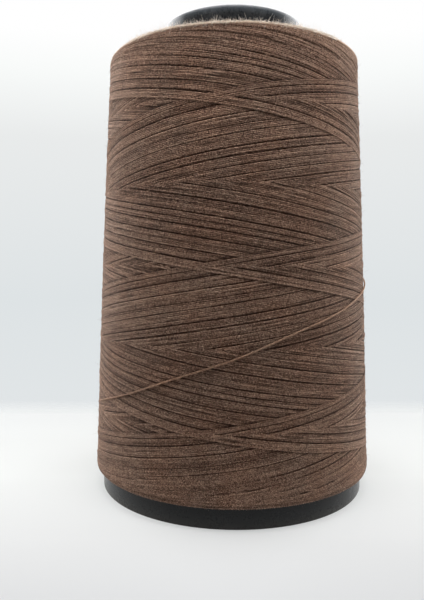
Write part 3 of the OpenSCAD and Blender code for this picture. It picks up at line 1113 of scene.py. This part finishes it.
def core_material():
    """Black moulded plastic: a fine even texture, faint flow marks, dust, rubbed gloss, and painted light at
    the flange's foot and the nose's lip.
    """
    n = new_material("black_moulded_plastic")
    grain = n.noise(GRAIN_SCALE, 3.0, roughness=0.6)
    cloud = n.noise(CLOUD_SCALE, 4.0)
    speck = n.mapped(n.noise(DUST_SCALE, 1.0), *DUST_PEAKS, 0.0, DUST_TONE)
    rub_and_highlight = n.noise(RUB_SCALE, 5.0, roughness=0.7)
    tone = n.total(n.swing(cloud, 0.1, 0.5), n.swing(grain, -0.1, 0.1), speck)
    # Painted light by height: a paler foot for the floor's reflection, and a pale lip for its highlight
    painted_light = n.ramp(n.math("DIVIDE", n.place()["Z"], CORE_TOP * MM), PAINTED_LIGHT_STOPS)
    height = n.math("ADD", n.math("MULTIPLY", grain, 0.6), n.math("MULTIPLY", cloud, 2.0))
    return n.surface(
        Base_Color=n.added(n.ramp(tone, CORE_STOPS), painted_light),
        Roughness=n.math("ADD", n.mapped(rub_and_highlight, 0.35, 0.65, 0.22, 0.34), n.swing(grain, -0.03, 0.05)),
        Specular_IOR_Level=0.24,
        Normal=n.bump(height, CORE_BUMP, 0.6),
    )


# ------------ floor, light and camera

def camera_rays(n):
    """1 for what the camera sees, by itself or by reflection, and 0 for the light on the object."""
    path = n.add("ShaderNodeLightPath")
    seen = n.math("MAXIMUM", path.outputs["Is Camera Ray"], path.outputs["Is Glossy Ray"])
    return n.math("MAXIMUM", seen, path.outputs["Is Transmission Ray"])


def floor():
    """Pale table: its back edge lies a little behind the object and fades out into the backdrop."""
    x = FLOOR_HALF_WIDTH
    back = FLOOR_BACK + FLOOR_FADE
    points = np.array([[-x, FLOOR_FRONT, 0], [x, FLOOR_FRONT, 0], [x, back, 0], [-x, back, 0]])
    piece = mesh_object("floor", points, np.arange(4), np.array([4]))
    piece.rotation_euler.z = math.radians(FLOOR_TURN)
    n = new_material("pale_floor")
    y = n.place()["Y"]
    solid = n.mapped(y, (FLOOR_BACK - FLOOR_FADE) * MM, back * MM, 1.0, 0.0)
    # Painted light and shade: the floor's colour is brightest near the object and darker at the front and
    # back
    colour = n.ramp(n.mapped(y, FLOOR_NEAR * MM, FLOOR_FAR * MM), FLOOR_STOPS)
    diffuse = n.add("ShaderNodeBsdfDiffuse", {"Color": colour}).outputs[0]
    glow = n.add("ShaderNodeEmission", {"Color": colour, "Strength": FLOOR_GLOW}).outputs[0]
    lift = n.math("MULTIPLY", camera_rays(n), FLOOR_LIFT)
    clear = n.add("ShaderNodeBsdfTransparent").outputs[0]
    below = n.add("ShaderNodeNewGeometry").outputs["Backfacing"]
    keep = n.math("MULTIPLY", solid, n.math("SUBTRACT", 1.0, below))
    look = n.mixed(keep, clear, n.mixed(lift, diffuse, glow))
    n.put(n.tree.nodes["Material Output"].inputs["Surface"], look)
    piece.data.materials.append(n.owner)


def world():
    """White studio: a backdrop that the camera sees, and soft light on the object, weaker in front."""
    studio = bpy.data.worlds.new("studio")
    bpy.context.scene.world = studio
    n = Nodes(studio)
    n.tree.nodes.clear()
    way = n.place("Generated")
    up = n.mapped(way["Z"], -1.0, 1.0)
    front = n.mapped(way["Y"], *ROOM_FRONT, ROOM_FRONT_SHADE)
    direct = n.add("ShaderNodeLightPath").outputs["Is Camera Ray"]
    shown = {"Color": n.ramp(up, BACKDROP), "Strength": n.math("MAXIMUM", direct, front)}
    seen = n.add("ShaderNodeBackground", shown).outputs[0]
    lit = {"Color": n.ramp(up, ROOM_LIGHT), "Strength": n.math("MULTIPLY", front, ROOM_STRENGTH)}
    light = n.add("ShaderNodeBackground", lit).outputs[0]
    n.add("ShaderNodeOutputWorld", {"Surface": n.mixed(camera_rays(n), light, seen)})


def softbox(name, angle, distance, height, size, power, aim_z):
    """Soft area light at an angle round the object, in degrees, aimed at the object's axis."""
    data = bpy.data.lights.new(name, "AREA")
    data.shape = "RECTANGLE"
    data.size, data.size_y = size
    data.energy = power
    lamp = bpy.data.objects.new(name, data)
    lamp.visible_camera = False
    bpy.context.scene.collection.objects.link(lamp)
    a = math.radians(angle)
    lamp.location = (distance * math.cos(a), distance * math.sin(a), height)
    aim = Vector((0, 0, aim_z)) - lamp.location
    lamp.rotation_euler = aim.to_track_quat("-Z", "Y").to_euler()


def camera():
    """Camera at the photograph's place: pinhole, no blur."""
    data = bpy.data.cameras.new("camera")
    data.lens = CAMERA_LENS
    data.sensor_width = data.sensor_height = SENSOR
    data.clip_start, data.clip_end = CLIP
    view = bpy.data.objects.new("camera", data)
    bpy.context.scene.collection.objects.link(view)
    yaw, pitch, roll = (math.radians(a) for a in (CAMERA_YAW, CAMERA_PITCH, CAMERA_ROLL))
    ahead = math.cos(pitch)
    forward = Vector((ahead * math.sin(yaw), ahead * math.cos(yaw), -math.sin(pitch)))
    level = Vector((math.cos(yaw), -math.sin(yaw), 0))
    upright = level.cross(forward)
    right = math.cos(roll) * level - math.sin(roll) * upright
    up = math.sin(roll) * level + math.cos(roll) * upright
    turn = Matrix((right, up, -forward)).transposed().to_4x4()
    view.matrix_world = Matrix.Translation(CAMERA_PLACE) @ turn
    bpy.context.scene.camera = view


# ------------ the whole scene

def stage():
    """Camera, room, lamps and floor."""
    bpy.context.scene.view_settings.view_transform = "Standard"
    camera()
    world()
    for name, settings in SOFTBOXES.items():
        softbox(name, *settings)
    floor()


def thread():
    """All the pieces of thread, in the order of their random draws."""
    rng = np.random.default_rng(SEED)
    winding = Winding(rng)
    wound = thread_material("spun_thread", THREAD_STOPS, THREAD_SHEEN, PLY_SHADE)
    winding_pieces(rng, winding, wound)
    packed_thread(packed_material())

    top_r = float(package_radius(TOP_Z - TOP_ROUND))
    foot_r = float(package_radius(FOOT_Z + FOOT_ROUND))
    top_inner_r = barrel_radius(TOP_Z) + TOP_END_GAP
    top = end_profile(top_inner_r, top_r, TOP_Z, TOP_ROUND, TOP_DISH, 1)
    foot = end_profile(FLANGE_R - FOOT_END_LAP, foot_r, FOOT_Z + FOOT_END_LIFT, FOOT_ROUND, 0.0, -1)
    end_turns(rng, "top_end_turns", top, 1, TOP_EDGE_HIGHLIGHT, wound)
    end_turns(rng, "foot_end_turns", foot, -1, 0.0, wound)

    hair = fibre_material("stray_fibres", HAIR_STOPS)
    # The top rim's fibres are a lit copy of the stray fibres' colours: painted light
    rim_lit_hair = fibre_material("rim_fibres", RIM_LIT_HAIR_STOPS)
    top_edge, foot_edge = (TOP_Z, TOP_ROUND, 1), (FOOT_Z, FOOT_ROUND, -1)
    wall_fuzz(rng, winding, hair)
    rim_fuzz(rng, "top_rim_nap", top_edge, TOP_NAP, rim_lit_hair, NAP_STEPS)
    rim_fuzz(rng, "top_rim_hairs", top_edge, TOP_HAIRS, rim_lit_hair, HAIR_STEPS)
    rim_fuzz(rng, "foot_rim_nap", foot_edge, FOOT_NAP, hair, NAP_STEPS)
    last_turn(rng, winding, thread_material("last_turn_thread", LAST_STOPS, LAST_SHEEN, LAST_PLY_SHADE))


def main():
    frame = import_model()
    stage()
    core = frame["nodes"]["cone_core"]
    core.data.materials.clear()
    core.data.materials.append(core_material())
    thread()


main()
